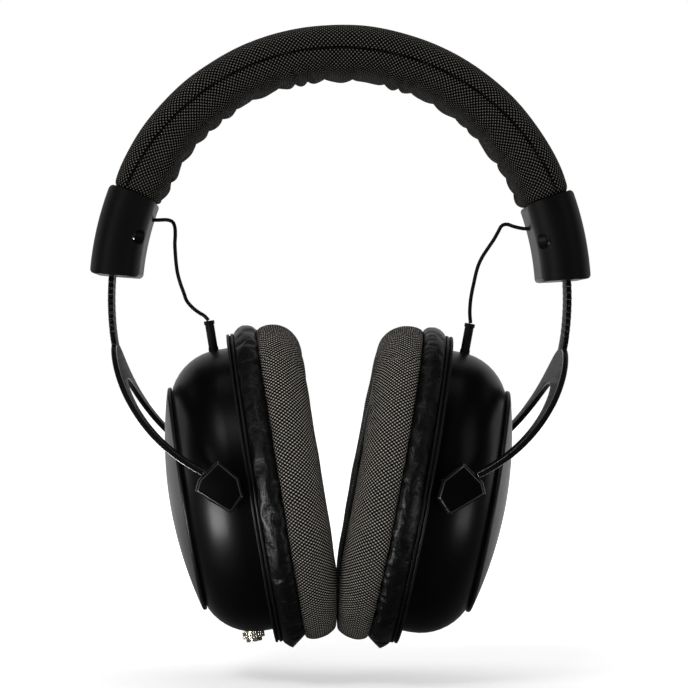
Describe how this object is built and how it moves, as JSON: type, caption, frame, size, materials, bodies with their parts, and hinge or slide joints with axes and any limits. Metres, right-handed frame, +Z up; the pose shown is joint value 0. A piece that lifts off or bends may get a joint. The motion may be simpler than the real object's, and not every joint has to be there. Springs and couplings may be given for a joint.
{
  "type": "aviation headset",
  "caption": "Over-ear headset with a padded arched headband, sliding steel yokes, oval ear cups on side pivots, soft ear pads and a round socket under one cup.",
  "frame": {"origin": "midway between the two ear cups' pivot lines, where the axis through the wearer's ears crosses the middle of the head; the seat of the mount named head", "axes": "+Z up to the crown of the headband, +X towards the cup on the right when seen from the front, -Y towards the front of that view"},
  "size_m": [0.1594, 0.0926, 0.1994],
  "materials": {
    "band_fabric": "matte",
    "pad_fabric": "matte",
    "driver_fabric": "matte",
    "pad_leather": "satin",
    "foam": "matte",
    "spring_steel": "satin",
    "nickel": "polished",
    "bronze": "satin",
    "cable_jacket": "matte",
    "housing_black": "matte",
    "cap_black": "satin",
    "shell_black": "satin",
    "plate_grey": "satin",
    "trim_black": "matte",
    "yoke_black": "satin",
    "film": "gloss"
  },
  "bodies": {
    "headband": {"headband_cover_top": "band_fabric", "headband_cover_lower": "band_fabric", "headband_foam": "foam", "headband_spring": "spring_steel", "crossover_cable": "cable_jacket", "left_housing_outer": "housing_black", "left_housing_inner": "housing_black", "left_housing_screws": "nickel", "left_detent_spring": "spring_steel", "left_cable_upper": "cable_jacket", "right_housing_outer": "housing_black", "right_housing_inner": "housing_black", "right_housing_screws": "nickel", "right_detent_spring": "spring_steel", "right_cable_upper": "cable_jacket"},
    "left_yoke": {"left_yoke": "yoke_black", "left_pivot_caps": "cap_black", "left_pivot_pins": "spring_steel"},
    "right_yoke": {"right_yoke": "yoke_black", "right_pivot_caps": "cap_black", "right_pivot_pins": "spring_steel"},
    "left_cup": {"left_cup_shell": "shell_black", "left_cover_plate": "plate_grey", "left_baffle": "trim_black", "left_baffle_screws": "nickel", "left_pivot_bushes": "bronze", "left_driver_frame": "trim_black", "left_driver_magnet": "nickel", "left_driver_diaphragm": "film", "left_driver_cloth": "driver_fabric", "left_pad_skirt": "pad_leather", "left_pad_cushion": "pad_fabric", "left_strain_relief": "cable_jacket", "left_cable_lower": "cable_jacket", "jack_socket": "nickel", "jack_nut": "nickel"},
    "right_cup": {"right_cup_shell": "shell_black", "right_cover_plate": "plate_grey", "right_baffle": "trim_black", "right_baffle_screws": "nickel", "right_pivot_bushes": "bronze", "right_driver_frame": "trim_black", "right_driver_magnet": "nickel", "right_driver_diaphragm": "film", "right_driver_cloth": "driver_fabric", "right_pad_skirt": "pad_leather", "right_pad_cushion": "pad_fabric", "right_strain_relief": "cable_jacket", "right_cable_lower": "cable_jacket"}
  },
  "joints": [
    {"name": "left_slide", "type": "hinge", "parent": "headband", "child": "left_yoke", "pos_m": [0.021, 0, 0.059], "axis": [0, 1, 0], "range_deg": [0, 10.5], "deforming": ["left_cable_upper"]},
    {"name": "left_tilt", "type": "hinge", "parent": "left_yoke", "child": "left_cup", "pos_m": [-0.0369, 0, 0], "axis": [0, 1, 0], "range_deg": [0, 20], "deforming": ["left_cable_lower"]},
    {"name": "right_slide", "type": "hinge", "parent": "headband", "child": "right_yoke", "pos_m": [-0.021, 0, 0.059], "axis": [0, -1, 0], "range_deg": [0, 10.5], "deforming": ["right_cable_upper"]},
    {"name": "right_tilt", "type": "hinge", "parent": "right_yoke", "child": "right_cup", "pos_m": [0.0369, 0, 0], "axis": [0, -1, 0], "range_deg": [0, 20], "deforming": ["right_cable_lower"]}
  ]
}
